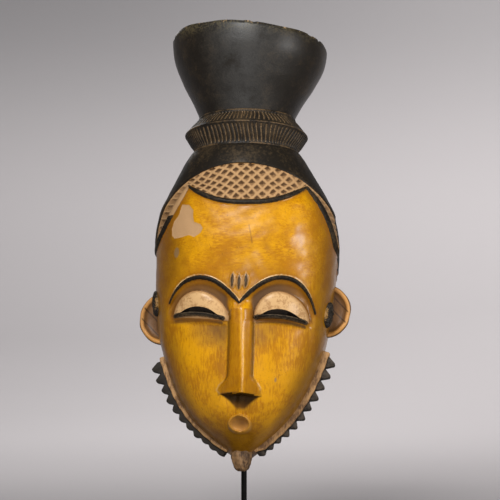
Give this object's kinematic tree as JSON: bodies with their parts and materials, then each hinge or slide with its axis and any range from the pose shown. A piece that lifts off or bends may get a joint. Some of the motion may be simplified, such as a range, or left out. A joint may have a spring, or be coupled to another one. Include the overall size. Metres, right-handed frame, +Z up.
{
  "type": "carved face mask on a stand",
  "caption": "Painted wooden face mask with a flared cup headdress, notched collar and hollow back, held up by a black rod on a flat foot.",
  "frame": {"origin": "centre of the foot's underside", "axes": "+Z up, the mask looks along -Y, +X to the right of a person who stands in front of it"},
  "size_m": [0.1944, 0.1705, 0.5135],
  "materials": {
    "painted_wood": "worn satin paint, yellow on the face and black on the hair",
    "rod_steel": "satin black",
    "foot_steel": "satin black"
  },
  "bodies": {
    "root": {"mask": "painted_wood", "stand_rod": "rod_steel", "stand_foot": "foot_steel"}
  },
  "joints": []
}
